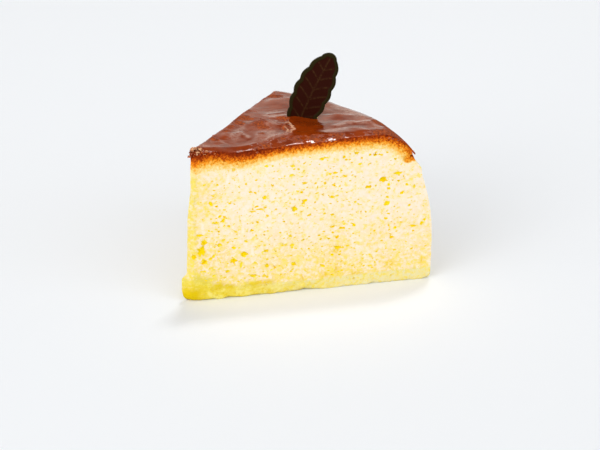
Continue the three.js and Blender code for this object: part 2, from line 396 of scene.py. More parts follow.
skinLook = {
    "amber": paint(144, 54, 3), "dark": paint(114, 37, 2), "clouds": (7, 3, 0.5, 0.35, 0.65),
    # painted reflection: a paler tone that stands in for the bright backdrop mirrored in the glaze
    "haze": paint(186, 144, 128), "paintedVeilNoise": (1.2, 3, 0.7, 0.3, 0.6), "hazeShare": 0.75,
    "bare": paint(172, 76, 8), "bareDark": paint(100, 32, 0), "specks": (0.9, 3, 0.75, 0.4, 0.6),
    "raggedness": (4, 5, 0.65, 0.3, 0.7, -0.5, 0.5),
    "bareLimits": (0.35, 0.75), "leastLimits": (0.02, 0.2),
    # pale colour of the torn glaze ridges: partly the torn film's own colour, partly a painted
    # highlight
    "scar": paint(226, 172, 136),
    "roughness": (0.13, 0.95),  # glazed, bare
    "ripple": (2.6, 2, 0.5), "rippleShare": 0.35,
    "pits": (0.6, 3, 0.7), "pitShares": (0.1, 1),  # glazed, bare
    "bump": (0.25, 0.8), "others": {"IOR": 1.45},
}
leafLook = {
    "panel": paint(42, 12, 5), "border": paint(36, 30, 10), "vein": paint(66, 46, 22),
    "worn": (0.8, 3, 0.7, 0.35, 0.65), "veinShare": 0.8, "grit": (0.05, 0.5, (0.9, 3, 0.6)),
    "roughness": (0.38, 0.5), "others": {"Specular IOR Level": 0.03},
}
# loose lumps: two colours and the roughness
lumpLook = {"mixing": (0.6, 3, 0.5, 0.38, 0.62), "grit": (0.06, 0.7, (0.25, 2))}
lumpColours = {
    "browned grains": (paint(112, 42, 8), paint(188, 98, 36), 0.3),
    "pale grains": (paint(224, 176, 130), paint(150, 72, 26), 0.25),
    "yellow crumbs": (paint(222, 202, 96), paint(212, 180, 44), 0.8),
}


def finishSoft(tree, colour, look):
    others = {**softInputs, "Subsurface Radius": look["scatter"]}
    finishMaterial(tree, colour, look["roughness"], gritNormal(tree, *look["grit"]), others)


def yellowLayer(tree, colour):  # the sponge's yellow, which soaks a little way up into the crumb
    look = spongeLook
    wander = pattern(tree, look["wander"], look["wanderStretch"])
    share = rangeOf(plus(attributeValue(tree, "layer"), wander), *look["layerLimits"])
    share = times(share, mixValue(attributeValue(tree, "paleness"), *look["paleShares"]))
    hollows = objectNoise(tree, *look["hollows"])
    light = rangeOf(hollows, *look["lightLimits"])
    colour = blendColours(share, colour, blendColours(light, look["yellow"], look["light"]))
    # darker yellow from random mottling and soaked places, plus painted shade at the foot
    darkness = times(times(rangeOf(hollows, *look["darkLimits"]), share), look["darkShare"])
    darkness = calculated("MAXIMUM", darkness, attributeValue(tree, "darkness"))
    colour = blendColours(darkness, colour, look["dark"])
    smear = times(pattern(tree, look["smearing"]), attributeValue(tree, "smear"))
    return blendColours(smear, colour, look["smear"])


def flecked(tree, colour, more):
    look = crumbLook
    for length, low, high, strength in look["flecks"]:
        flecks = plus(objectNoise(tree, length, *look["fleckNoise"], look["stretch"]), more)
        colour = blendColours(times(rangeOf(flecks, low, high), strength), colour, look["fleck"])
    return colour


def brownedColour(colour, crust, limits):  # the crust's colours laid over another
    return blendColours(rangeOf(crust, *limits), colour, colourSteps(crust, crumbLook["crust"]))


def crumbMaterial():
    look = crumbLook
    material, tree = newMaterial("baked crumb")
    low = plus(attributeValue(tree, "lowness"), pattern(tree, look["patches"]), True)
    colour = blendColours(low, look["cream"], look["creamLow"])
    bright = pattern(tree, look["brightness"], look["stretch"])
    colour = blendColours(bright, colour, look["bright"])
    yellow = attributeValue(tree, "yellowness")
    more = plus(times(yellow, look["flecksInYellow"]), times(low, look["flecksLow"]))
    colour = flecked(tree, colour, plus(more, attributeValue(tree, "fleckiness")))
    blotches = times(pattern(tree, look["blotches"], look["stretch"]), yellow)
    # along the tip's edge this yellow is a painted glow through the thin tip, darkened as painted
    # shade
    colour = blendColours(plus(yellow, blotches, True), colour, look["tipYellow"])
    colour = yellowLayer(tree, colour)
    grain = times(pattern(tree, look["grain"]), look["grainShare"])
    crust = plus(attributeValue(tree, "crust"), grain)
    colour = brownedColour(colour, crust, look["crustLimits"])
    tone = blendColours(pattern(tree, look["dots"]), look["dotDark"], look["dotBright"])
    colour = blendColours(rangeOf(crust, *look["dotLimits"]), colour, tone, "MULTIPLY")
    finishSoft(tree, colour, look)
    return material


def poreMaterial():
    look = poreLook
    material, tree = newMaterial("pore walls")
    depth = rangeOf(attributeValue(tree, "depthInCut"), *look["depthLimits"])
    colour = blendColours(depth, look["shallow"], look["deep"])
    colour = brownedColour(colour, attributeValue(tree, "crust"), look["crustLimits"])
    finishSoft(tree, colour, look)
    return material


def skinMaterial():
    look = skinLook
    material, tree = newMaterial("glazed brown top")
    colour = blendColours(pattern(tree, look["clouds"]), look["amber"], look["dark"])
    # painted reflection: paler patches laid into the colour, standing in for the backdrop mirrored
    # in the glaze
    haze = times(attributeValue(tree, "haze"), pattern(tree, look["paintedVeilNoise"]))
    colour = blendColours(times(haze, look["hazeShare"]), colour, look["haze"])
    bare = blendColours(pattern(tree, look["specks"]), look["bareDark"], look["bare"])
    bareness = attributeValue(tree, "bareness")
    share = rangeOf(plus(bareness, pattern(tree, look["raggedness"])), *look["bareLimits"])
    share = times(share, rangeOf(bareness, *look["leastLimits"]))
    colour = blendColours(share, colour, bare)
    # pale torn ridges: partly the film's own colour, partly a painted highlight
    colour = blendColours(attributeValue(tree, "scar"), colour, look["scar"])
    pits = times(objectNoise(tree, *look["pits"]), mixValue(share, *look["pitShares"]))
    height = plus(times(objectNoise(tree, *look["ripple"]), look["rippleShare"]), pits)
    normal = bumpNormal(height, *look["bump"])
    finishMaterial(tree, colour, mixValue(share, *look["roughness"]), normal, look["others"])
    return material


def spongeMaterial():
    look = spongeLook
    material, tree = newMaterial("sponge base")
    colour = blendColours(pattern(tree, look["mottle"]), look["pale"], look["paleToo"])
    colour = yellowLayer(tree, flecked(tree, colour, attributeValue(tree, "fleckiness")))
    finishSoft(tree, colour, look)
    return material


def leafMaterial():
    look = leafLook
    material, tree = newMaterial("chocolate leaf")
    colour = blendColours(attributeValue(tree, "border"), look["panel"], look["border"])
    worn = pattern(tree, look["worn"])
    veins = times(times(attributeValue(tree, "vein"), worn), look["veinShare"])
    colour = blendColours(veins, colour, look["vein"])
    normal = gritNormal(tree, *look["grit"])
    finishMaterial(tree, colour, mixValue(worn, *look["roughness"]), normal, look["others"])
    return material


def lumpMaterial(name):
    material, tree = newMaterial(name)
    colour, other, roughness = lumpColours[name]
    colour = blendColours(pattern(tree, lumpLook["mixing"]), colour, other)
    finishMaterial(tree, colour, roughness, gritNormal(tree, *lumpLook["grit"]))
    return material


crumbStuff = crumbMaterial()
poreStuff = poreMaterial()
skinStuff = skinMaterial()
spongeStuff = spongeMaterial()
leafStuff = leafMaterial()
brownGrainStuff, paleGrainStuff, yellowCrumbStuff = map(lumpMaterial, lumpColours)
print("materials ready")


# Geometry Nodes: irregular lumps strewn over a surface where an attribute allows,
# longer along the surface's level than up it

# what the tables of lumps give: socket kind, and what one unit of the table is worth
lumpInputs = {
    "spacing": ("Float", mm), "density": ("Float", 1e4), "smallest": ("Float", mm),
    "largest": ("Float", mm), "length": ("Float", 1), "depth": ("Float", 1),
    "wobble": ("Float", mm), "fineness": ("Int", 1), "seed": ("Int", 1),
}
lumpShape = {
    "skew": 2.5,  # makes more of the small ones
    "lengths": (0.75, 1.25), "heights": (0.6, 1.05), "tilts": (-0.3, 0.3), "turns": (-0.5, 0.5),
    "wobbleScale": 1400,  # per metre
}


def lumpTree():
    shape = lumpShape
    tree = bpy.data.node_groups.new("strewn lumps", "GeometryNodeTree")

    def socket(name, kind, side="INPUT"):
        tree.interface.new_socket(name, in_out=side, socket_type="NodeSocket" + kind)

    socket("Geometry", "Geometry")
    socket("chance", "String")
    for name, (kind, _) in lumpInputs.items():
        socket(name, kind)
    socket("material", "Material")
    socket("Geometry", "Geometry", "OUTPUT")

    def made(kind, inputs=None, output=0, **settings):
        return newNode(tree, kind, inputs, **settings).outputs[output]

    def draw(offset, low, high):
        inputs = {2: low, 3: high, "Seed": plus(given["seed"], float(offset))}
        return made("FunctionNodeRandomValue", inputs, 1, data_type="FLOAT")

    given = newNode(tree, "NodeGroupInput").outputs
    chance = made("GeometryNodeInputNamedAttribute", {"Name": given["chance"]}, data_type="FLOAT")
    points = newNode(tree, "GeometryNodeDistributePointsOnFaces", {
        "Mesh": given["Geometry"], "Distance Min": given["spacing"], "Seed": given["seed"],
        "Density Max": given["density"], "Density Factor": chance,
    }, distribute_method="POISSON")
    normal = points.outputs["Normal"]
    skewed = calculated("POWER", draw(1, 0, 1), shape["skew"])
    size = mixValue(skewed, given["smallest"], given["largest"])
    scale = made("ShaderNodeCombineXYZ", {
        "X": times(size, times(given["length"], draw(2, *shape["lengths"]))),
        "Y": times(size, draw(3, *shape["heights"])), "Z": times(size, given["depth"]),
    })
    level = made("ShaderNodeVectorMath", {0: (0, 0, 1), 1: normal}, operation="CROSS_PRODUCT")
    facing = made("FunctionNodeAlignRotationToVector", {"Vector": normal}, axis="Z")
    lying = made(
        "FunctionNodeAlignRotationToVector", {"Rotation": facing, "Vector": level},
        axis="X", pivot_axis="Z",
    )
    tilt = made("ShaderNodeCombineXYZ", {
        "X": draw(4, *shape["tilts"]), "Y": draw(5, *shape["tilts"]), "Z": draw(6, *shape["turns"]),
    })
    tiltBy = made("FunctionNodeEulerToRotation", {"Euler": tilt})
    lump = made("GeometryNodeMeshIcoSphere", {"Radius": 1, "Subdivisions": given["fineness"]})
    turns = {"Rotation": lying, "Rotate By": tiltBy}
    lumps = made("GeometryNodeInstanceOnPoints", {
        "Points": points.outputs["Points"], "Instance": lump, "Scale": scale,
        "Rotation": made("FunctionNodeRotateRotation", turns, rotation_space="LOCAL"),
    })
    real = made("GeometryNodeRealizeInstances", {"Geometry": lumps})
    field = made("ShaderNodeTexNoise", {
        "Vector": made("GeometryNodeInputPosition"), "Scale": shape["wobbleScale"], "Detail": 1,
    }, "Color")
    inputs = {0: field, 1: (0.5, 0.5, 0.5)}
    centred = made("ShaderNodeVectorMath", inputs, operation="SUBTRACT")
    inputs = {0: centred, "Scale": given["wobble"]}
    push = made("ShaderNodeVectorMath", inputs, operation="SCALE")
    rough = made("GeometryNodeSetPosition", {"Geometry": real, "Offset": push})
    inputs = {"Geometry": rough, "Material": given["material"]}
    newNode(tree, "NodeGroupOutput", {"Geometry": made("GeometryNodeSetMaterial", inputs)})
    return tree


strewnLumps = lumpTree()


def evaluatedMesh(piece, modifier):  # with the modifier's work in it; the modifier goes
    shown = bpy.context.evaluated_depsgraph_get()
    mesh = bpy.data.meshes.new_from_object(piece.evaluated_get(shown))
    piece.modifiers.remove(modifier)
    return mesh


def strewn(piece, name, chance, values, material):  # a plain mesh object of lumps over a piece
    setAttributes(piece.data, chance=chance)
    modifier = piece.modifiers.new("lumps", "NODES")
    modifier.node_group = strewnLumps
    sockets = strewnLumps.interface.items_tree
    inputs = {item.name: item.identifier for item in sockets if item.in_out == "INPUT"}
    modifier[inputs["chance"]] = "chance"
    modifier[inputs["material"]] = material
    for (key, (_, unit)), value in zip(lumpInputs.items(), values):
        modifier[inputs[key]] = value * unit
    mesh = evaluatedMesh(piece, modifier)
    piece.data.attributes.remove(piece.data.attributes["chance"])
    mesh.name = name
    return newObject(name, mesh)


def cutAway(piece, cutter):  # hollows that take the cutter's material
    modifier = piece.modifiers.new("hollows", "BOOLEAN")
    modifier.object = cutter
    modifier.operation = "DIFFERENCE"
    modifier.solver = "MANIFOLD"
    modifier.material_mode = "TRANSFER"
    old = piece.data
    piece.data = evaluatedMesh(piece, modifier)
    piece.data.name = old.name
    bpy.data.meshes.remove(old)
    bpy.data.objects.remove(cutter)


# the crumb

crumbBuild = {
    "steps": (150, 40, 92),  # along, across, up
    # hollows of the front cut: distance from the tip, height, half length, half height
    "hollows": [
        (71.3, 39.9, 1.35, 0.8), (76.6, 41.8, 1.4, 0.42), (38, 31.8, 0.9, 0.8),
        (37, 48, 0.7, 0.4), (41.5, 41.2, 0.9, 0.4), (52.1, 35, 1, 0.4),
        (41.7, 34.5, 0.8, 0.45), (36.7, 21.7, 0.8, 0.4), (26.8, 37, 0.7, 0.6),
        (75, 17.5, 0.8, 0.45), (4.9, 22.2, 0.9, 1), (4.1, 19.2, 1.2, 1.5),
        (5.2, 14.8, 1, 0.8), (1.5, 17, 0.8, 0.8), (3.5, 25, 1.1, 0.4), (10.5, 20.8, 0.8, 0.5),
        (8.5, 16.8, 0.5, 0.6), (19.8, 16.5, 1.1, 0.8), (15.9, 14.2, 1, 0.8),
        (18.5, 12.4, 0.4, 1.3), (23.1, 7.9, 1.2, 0.5), (27.9, 16.8, 0.8, 0.5),
        (28.2, 11.1, 0.6, 0.6), (38.3, 10.8, 0.7, 0.6), (13.6, 10.4, 0.9, 0.4),
        (56, 22.8, 1.1, 0.4), (83, 21, 0.9, 0.4), (86.4, 21.8, 0.6, 0.6),
        (54.6, 15.5, 1.2, 0.5), (22.6, 32.2, 0.9, 0.28), (25.3, 32.8, 1.1, 0.24),
        (27.2, 33.2, 0.5, 0.3), (9.2, 29.1, 0.8, 0.26), (11.6, 29.6, 0.9, 0.24),
        (79, 47, 0.5, 0.9), (47.9, 49.7, 0.7, 0.55), (52.9, 44, 0.75, 0.35),
        (49.2, 40.5, 0.5, 0.45), (65.9, 49.7, 0.4, 0.4), (67.7, 49.4, 0.65, 0.38),
        (60.9, 50.7, 0.7, 0.5), (75.5, 47.3, 0.45, 0.42), (80.3, 37.3, 0.5, 0.45),
        (83.2, 36.3, 0.4, 0.65), (81.4, 29.2, 0.45, 0.4), (49.3, 29, 0.45, 0.35),
        (52.3, 28.3, 0.75, 0.32),
    ],
    "hollowGrowth": 1.2,
    "hollowDepth": (1.6, 1.1, 0.6),  # at most: half heights, millimetres; share of that
    "hollowSeeds": 3,  # apart
    "bulge": (43.2, 0.9, 3.4),  # torn crumb at the front rim corner: height, how far, half height
    "nearFront": (0.1, 0),  # share of the way across
    "tearTurn": 0.43,  # share of the shoulder's quarter turn
    "tearLift": 0.5, "tearSize": (1.7, 3.2, 0.85), "tearSeed": 5,
    "skinEnd": (0.4, 0.425),  # where the skin over it ends, as shares of the turn
    "coverPower": 6, "reliefPower": 4,
    # the browned band: its depth, and how that changes with the distance from the tip
    "band": 10.8, "bandChanges": [(9.2, 1, 7), (6.8, 12, 30), (7.8, 45, 62)],
    "lighter": [(0.15, 38, 58), (0.12, 68, 78), (0.14, 76.5, 79.5)],  # how much, limits
    "lighterNearTip": (0.115, 11, 8),  # how much, where, half width
    "unbrowned": (46.5, 43.5),  # limits of height
    "patch": (80.2, 46.3, 1.9),  # browned crumb under the tear: distance, height, size
    "patchCrust": 0.5,
    "mostMeasure": (2, 3),  # of crust and of depth
    "lowness": [(0.8, "height", 34, 8), (0.55, "reach", 20, 4)],
    # first entry: painted glow of light through the thin tip along its edge, toned down as painted
    # shade; second: the yellow low at the foot
    "yellowness": [(0.4, {"reach": (4.2, 0)}), (0.85, {"reach": (13, 3), "height": (13, 6)})],
    # where strewn pores come, and what crowds them or keeps them apart
    "poreZone": {"crust": (0.6, 0.85), "reach": (3, 6), "above": (0.6, 1.6), "inside": (0.8, 3)},
    "poreFaces": (0.4, 0.5),  # least share from the middle, greatest depth behind the cut
    "clusters": [(1, 9), (0.5, 4)], "clusterSeed": 40, "clusterLimits": (-0.45, 0.35),
    "clusterShares": (0.25, 0.9),
    "fewerAtRim": (0.5, 30, 75), "moreLow": (0.3, 24, 8),
    "gap": (0.5, 26, 14), "gapHeights": (26, 34),
}
# strewn pores and grains: spacing, density per square centimetre, smallest and largest half
# height, length and depth as shares of that, wobble, fineness, seed
pores = {
    "large": (3, 1, 0.5, 0.95, 1.3, 0.6, 1.1, 3, 3),
    "middling": (1.8, 5.5, 0.34, 0.68, 1.35, 0.55, 0.75, 2, 5),
    "other middling": (1.6, 5, 0.3, 0.6, 1.5, 0.55, 0.75, 2, 6),
    "small": (1, 18, 0.26, 0.44, 1.4, 0.6, 0.35, 1, 8),
}
# how the yellow lies low on the cuts of crumb and base
layering = {
    "above": (0.9, -0.4), "aboveLimits": (10, 60), "blur": 1.6, "most": 3,
    "paleness": (8, 70),
    # painted shade: darker yellow low on the foot near the tip
    "shadedFoot": {"reach": (7, 2), "height": (7, 3)},
    # dark yellow places on the line between crumb and base, in the same way as the hollows
    "soaked": [(24.6, 4.9, 2.8, 0.8), (29, 5, 2, 0.6), (10.5, 5.6, 2.2, 1), (15, 4.6, 1.6, 0.8)],
    "soakedShare": 0.9, "darkAcross": (0.95, 0.6), "darkReach": (5, 3),
    "flecks": [(0.05, {"reach": (22, 45), "height": (15, 4)})],
    # yellow smears, in the same way
    "smears": [
        (54.5, 14.4, 2, 1.4), (54.3, 7, 0.9, 2.6), (50.1, 5.6, 2, 1.4), (41.6, 5.2, 0.7, 2.4),
        (61.5, 5, 2.6, 0.8), (74.7, 7.3, 2.4, 1.5), (27.4, 4.8, 3.6, 0.7), (87.2, 7.4, 0.9, 1.6),
    ],
}

skinBuild = {
    "flatSteps": 236, "shoulderSteps": 48, "acrossSteps": 120, "edgeCrowding": 1.7,
    "flatShare": 0.78, "tipStart": 0.4,
    "endTurn": 0.43, "ragged": 0.03, "endSlant": 0.5, "endLine": 0.3,
    "endBumps": (0, (1, 0.06), (0.6, 0.025)),  # seed, then amounts and lengths, as below
    "thinning": 0.72, "thinningTurns": (0.05, 0.35),
    "reliefLimits": (0.4, 0.8),  # of the shoulder, where the top's relief ends
    # rounding of the edges: near the tip, in the middle, near the rim, at the back
    "edgeWidths": (0.9, 1.5, 0.8, 1.4), "edgeDrops": (0.35, 0.45, 0.3, 0.45),
    "edgeChanges": ((16, 34), (53, 58)), "edgeMost": 0.45, "edgeCurve": 0.98,
    "edgeBumps": (2, (0.3, 3), (0.25, 1.3), (0.15, 0.7)),
    "edgeLift": (0.45, 5),  # the edge stands a little higher near the tip: height, half width
    "edgeLiftZone": (5, 12, 21, 27),
    "evenSlope": 0.3,  # of the part of the edge that glints most
    "evenShare": 0.8, "evenZone": (38, 44, 54, 60),
    "deepest": 0.8,  # share of the skin's thickness
    "tipDrop": 0.2, "tipDropLimits": (2.5, 0.4),
    # the dull strip along the front cut: distance from the tip, width there
    "strip": [
        (3, 2.4), (10, 3.4), (20, 3.3), (24, 3.8), (29, 5), (36, 6.2), (42, 5.8), (50, 4.4),
        (58, 3.6), (66, 3.2), (74, 3.2),
    ],
    "stripSlope": (0.25, 0.15), "stripSlopeLimits": (18, 27),  # it falls towards the cut
    "stripBead": (0.35, 0.8, 3),  # a low bead along it: height, how far behind, half width
    "beadLimits": (28, 34), "stripEnd": (76, 68),
    "lipLift": 0.2, "lipTurns": (0.4, 0.43), "lipAcross": (0.12, 0),
    "flapLift": 1.25, "flapTurns": (0.16, 0.42), "flapWidth": 10,
    "foldZone": {"fromCut": (1.5, 4.5), "reach": (2, 8)}, "foldBend": (21, (1.5, 9)),
    # folds of the glaze: from, to (millimetres from the tip), width, height
    "folds": [
        ((56.4, -13.7), (63.2, -14), 1.6, 0.3), ((63.2, -14), (68.5, -18), 1.6, 0.4),
        ((68.5, -18), (66, -30.5), 1.6, 0.3), ((59, -21), (64, -23), 2.2, -0.2),
        ((21.5, -8.6), (30, -3.6), 1.8, 0.35), ((30, -3.6), (39, 3.4), 1.8, 0.35),
        ((29.2, -7.9), (37, -7.4), 1.3, 0.25), ((45, 8.6), (50, 6.8), 1, 0.2),
        ((46.5, 11.9), (51.5, 10), 1, 0.2), ((22, 3), (27, 4.2), 1.3, 0.2),
        ((27, 4.2), (26, -1), 1.3, 0.2), ((12, 4), (16, 1.5), 1.2, 0.15),
    ],
    # mounds that rise slowly away from the front and fall off quickly: crest, half width,
    # run, height
    "mounds": [
        (43, -1, 2.2, 4.6, 0.9), (47.6, 5, 3.4, 3, 0.6), (40.5, -8.4, 2, 2.2, 0.5),
        (40.4, 6.4, 3.6, 9, 1.25), (52, 2.6, 3, 3.5, 0.6), (22, 8, 3.4, 6, 0.7),
        (66, -5, 4, 6, 0.7), (60, -20, 3.6, 4, 0.5), (66, 18, 10, 16, 0.9),
    ],
    "moundAxes": ((0.775, -0.634), (0.634, 0.775)),  # to the side, back
    "moundFall": 1.2, "moundBend": 0.5,
    "wrinkles": (5, (0.13, 7), (0.06, 3.2), (0.03, 1.5)),
    # painted reflection: places where the glaze is painted paler, standing in for the bright
    # backdrop mirrored in it: from, to, width
    "hazes": [
        ((21.1, -9.5), (29.1, -4.3), 1.7), ((29.1, -4.3), (36.3, 1.1), 2.2),
        ((36.3, 1.1), (41.6, 3.8), 1.5), ((25.7, -8.2), (35.8, -2.4), 1.6),
        ((29.2, -8.3), (37, -7.9), 1.2), ((44.7, 11.4), (51.2, 7.5), 0.9),
        ((47.5, 13.6), (51.5, 12.6), 0.9), ((44.7, 8.5), (49.2, 7), 0.7),
        ((21.4, 2.3), (39.4, 15), 1.6), ((22.2, 3.1), (26.9, 4.2), 1),
        ((26.9, 4.2), (26.2, -0.9), 1), ((12.4, 4), (15.4, 1.6), 1),
        ((6.2, 2.1), (14.3, -5.8), 1.5), ((56.4, -13.7), (63.2, -14), 1.2),
        ((63.2, -14), (68.7, -19.4), 1.2), ((68.7, -19.4), (65.3, -31.3), 1.1),
        ((49, -14.6), (59.4, -17.9), 1.2), ((66, -3.7), (69.4, -7.6), 1.2),
        ((72.2, 3.3), (71.2, -9), 2.2), ((71.2, -9), (68.6, -23), 2.2),
    ],
    "hazeBend": (51, (1.2, 4)), "hazeHeights": (48, 52),
    "hazeOffStrip": (0.85, {"inStrip": (-0.6, 0.8), "across": frontHalf}),
    # the crumpled tear beside the leaf: from, to, strength
    "scars": [
        ((42.6, 1.4), (44.6, 0.6), 0.5), ((44.6, 0.6), (46.1, 0.4), 0.7),
        ((46.1, 0.4), (45.2, -1.6), 0.9), ((45.2, -1.6), (44, -4), 1),
        ((44, -4), (42.6, -6.6), 0.9), ((42.6, -6.6), (40.9, -6.3), 0.9),
        ((40.2, -7.6), (38.9, -8.4), 0.7), ((38.9, -8.4), (37.2, -7.8), 0.5),
        ((41.2, -2.8), (40.6, -5), 0.7), ((40.6, -5), (39.4, -6.9), 0.9),
    ],
    "scarWidth": 0.58, "scarHeight": 0.4, "scarBend": (31, (0.5, 1.6)),
    # how much the torn ridges are painted pale, partly as the film's colour and partly as a painted
    # highlight
    "scarColour": (0.8, 0.3, 0.9),  # strength, limits
    # where the crust lies bare: over the rim, low, at the front corner, at the back, in the strip
    "bareZones": [
        (1, {"reach": (69, 75), "across": (0.45, 0.1)}),
        (1, {"height": (55, 49), "reach": (60, 70)}),
        (1, {"reach": (63, 72), "behind": (9, 1), "across": frontHalf}),
        (0.6, {"behind": (1.6, 0.32), "across": backHalf, "reach": (6, 12)}),
    ],
    "bareStrip": {"inStrip": (-0.4, 0.6), "across": frontHalf, "reach": (21, 25)},
    "bareShares": (0.3, 0.85), "bareBehind": (0.4, 1.1),  # shares on its edge and behind that
    "barePatches": (33, (1, 2.6), (0.7, 1.1)), "patchLimits": (-0.1, 0.4),
    "patchSteps": ((0.85, 62, 56), (0.15, 44, 36)),  # strength, limits of the distance
    # places where the glaze lies dull: distance from the tip, sideways, radius, strength
    "dull": [
        (26, -10.5, 2, 0.9), (28.1, 12, 3.2, 1), (32.5, 12.6, 3.4, 1),
        (37, 14.6, 3.4, 1), (62.6, 26.8, 3.4, 0.9), (36.6, 7, 3, 0.85),
        (35.3, 2.4, 2.4, 0.95), (30.6, -2.3, 2, 0.6), (46.3, 4.3, 2.8, 0.95),
        (40.9, -3.2, 2.4, 0.95), (40, 8.6, 2.6, 0.5), (32, 5.1, 2, 0.5),
        (28.6, 5, 1.6, 0.4), (26.7, -3.4, 1.2, 0.4), (14.5, 4.8, 2.4, 0.8), (24, 9.5, 2.8, 0.8),
        (33.5, 15, 3, 0.8), (43.5, 20.4, 3, 0.9), (62.3, 26.6, 3.4, 0.8),
    ],
    "sideNormal": 0.5,  # faces that point sideways more than this belong to the cut
}


def skinThickness(turn):  # thinner down the shoulder
    return form["skin"] * (1 - skinBuild["thinning"] * ease(turn, *skinBuild["thinningTurns"]))


def cornerLift(turn, across):  # the skin and the crumb under it bulge at the front rim corner
    low, high = skinBuild["flapTurns"]
    fromFront = across * form["angle"] * form["radius"]
    share = np.clip((turn - low) / (high - low), 0, 1)
    return skinBuild["flapLift"] * share * np.clip(1 - fromFront / skinBuild["flapWidth"], 0, 1)


def crumbPoint(along, across, up):
    build = crumbBuild
    bend = shoulderBend(across)
    start = form["radius"] - bend
    drop = form["shoulderDrop"]
    low = form["height"] - drop
    reach = mix(form["tipRound"], form["radius"], along)
    height = mix(layerLine(reach, across), form["height"], up)
    outward = np.clip((reach - start) / bend, 0, 1)
    upward = np.clip((height - low) / drop, 0, 1)
    onShoulder = (outward > 0) & (upward > 0)
    sine = outward * np.sqrt(1 - upward ** 2 / 2)
    cosine = upward * np.sqrt(1 - outward ** 2 / 2)
    turn = np.arctan2(sine, np.maximum(cosine, tiny)) / (math.pi / 2)
    covered = 1 - ease(turn, *build["skinEnd"])  # the crumb shows below the end of the skin
    lift = (cornerLift(turn, across) - skinThickness(turn)) * covered
    lift = lift * np.hypot(sine, cosine) ** build["coverPower"]
    bentReach = start + bend * sine + lift * np.sin(turn * math.pi / 2)
    bentHeight = low + drop * cosine + lift * np.cos(turn * math.pi / 2)
    reach = np.where(onShoulder, bentReach, reach)
    flatHeight = height - form["skin"] * upward ** build["coverPower"]
    height = np.where(onShoulder, bentHeight, flatHeight)
    middle, out, halfHeight = build["bulge"]
    bulge = out * outward * ease(np.abs(height - middle), halfHeight, 0)
    reach = reach + bulge * ease(across, *build["nearFront"])
    x, y, z = place(reach, across, height)
    return x, y, z + topRelief(reach, across, x, y) * up ** build["reliefPower"]


def shoulderPoint(turn, across, lift=0):  # on the shoulder's curve, lifted off it
    bend = shoulderBend(across)
    drop = form["shoulderDrop"]
    angle = turn * math.pi / 2
    reach = form["radius"] - bend + (bend + lift) * np.sin(angle)
    return reach, form["height"] - drop + (drop + lift) * np.cos(angle)


def crustDepth(at):  # 0 at the skin, 1 where the browning ends
    build = crumbBuild
    reach, z = at["reach"], at["height"]
    across = np.clip(at["across"], 0, 1)
    bend = shoulderBend(across)
    drop = form["shoulderDrop"]
    outward = np.maximum(0, (reach - form["radius"] + bend) / bend)
    upward = np.maximum(0, (z + topSinking(reach, across) - form["height"] + drop) / drop)
    rho = np.maximum(np.hypot(outward, upward), tiny)
    slope = np.hypot(outward / (rho * bend), upward / (rho * drop))
    below = (1 - rho) / np.maximum(slope, tiny)
    band = build["band"]
    for depth, low, high in build["bandChanges"]:
        band = mix(band, depth, ease(reach, low, high))
    amount, middle, width = build["lighterNearTip"]
    lighter = amount * hump(reach - middle, width) + 2 * ease(z, *build["unbrowned"])
    for amount, low, high in build["lighter"]:
        lighter = lighter + amount * ease(reach, low, high)
    middle, height, size = build["patch"]
    patch = hump(np.hypot(reach - middle, z - height), size) * ease(across, *build["nearFront"])
    return mix(below / band + lighter, build["patchCrust"], patch)


blobWobble = [(0.5, 1.4), (0.5, 3.1), (0.3, 7.3)]  # how much, how fine


def blob(name, centre, size, level, seed, material):  # one irregular lump or hollow
    mesh = bpy.data.meshes.new(name)
    made = bmesh.new()
    bmesh.ops.create_icosphere(made, subdivisions=3, radius=1)
    for vertex in made.verts:
        start = vertex.co + Vector((seed, 0, 0))
        wobble = sum((amount * noise.noise(start * fine) for amount, fine in blobWobble), 1)
        local = vertex.co * wobble
        along = Vector((math.cos(level), math.sin(level), 0)) * local.x * size[0]
        inward = Vector((-math.sin(level), math.cos(level), 0)) * local.y * size[1]
        vertex.co = (centre + along + inward + Vector((0, 0, local.z * size[2]))) * mm
    made.to_mesh(mesh)
    made.free()
    mesh.materials.append(material)
    return newObject(name, mesh)


def joined(pieces, name):
    for other in bpy.context.selected_objects:
        other.select_set(False)
    for piece in pieces:
        piece.select_set(True)
    bpy.context.view_layer.objects.active = pieces[0]
    bpy.ops.object.join()
    whole = bpy.context.view_layer.objects.active
    whole.name = name
    return whole


def spots(places, at):  # 1 in the middle of oval places on the cuts
    total = np.zeros_like(at["reach"])
    for middle, height, halfLength, halfHeight in places:
        along = (at["reach"] - middle) / halfLength
        distance = np.hypot(along, (at["height"] - height) / halfHeight)
        total = np.maximum(total, hump(distance))
    return total


def setLayering(mesh):  # how far above the yellow's upper end, and where smears are
    values = layering
    at = measuresOf(mesh)
    reach, z = at["reach"], at["height"]
    top = layerLine(reach, np.clip(at["across"], 0, 1))
    top = top + mix(*values["above"], ease(reach, *values["aboveLimits"]))
    soaked = values["soakedShare"] * spots(values["soaked"], at)
    # painted shade at the foot, together with the soaked dark yellow places
    darkness = np.maximum(zone(values["shadedFoot"], at), soaked)
    sides = ease(at["across"], *values["darkAcross"])
    setAttributes(
        mesh, layer=np.clip((z - top) / values["blur"], -values["most"], values["most"]),
        paleness=ease(reach, *values["paleness"]),
        darkness=darkness * np.maximum(sides, ease(reach, *values["darkReach"])),
        fleckiness=strongest(values["flecks"], at), smear=spots(values["smears"], at),
    )


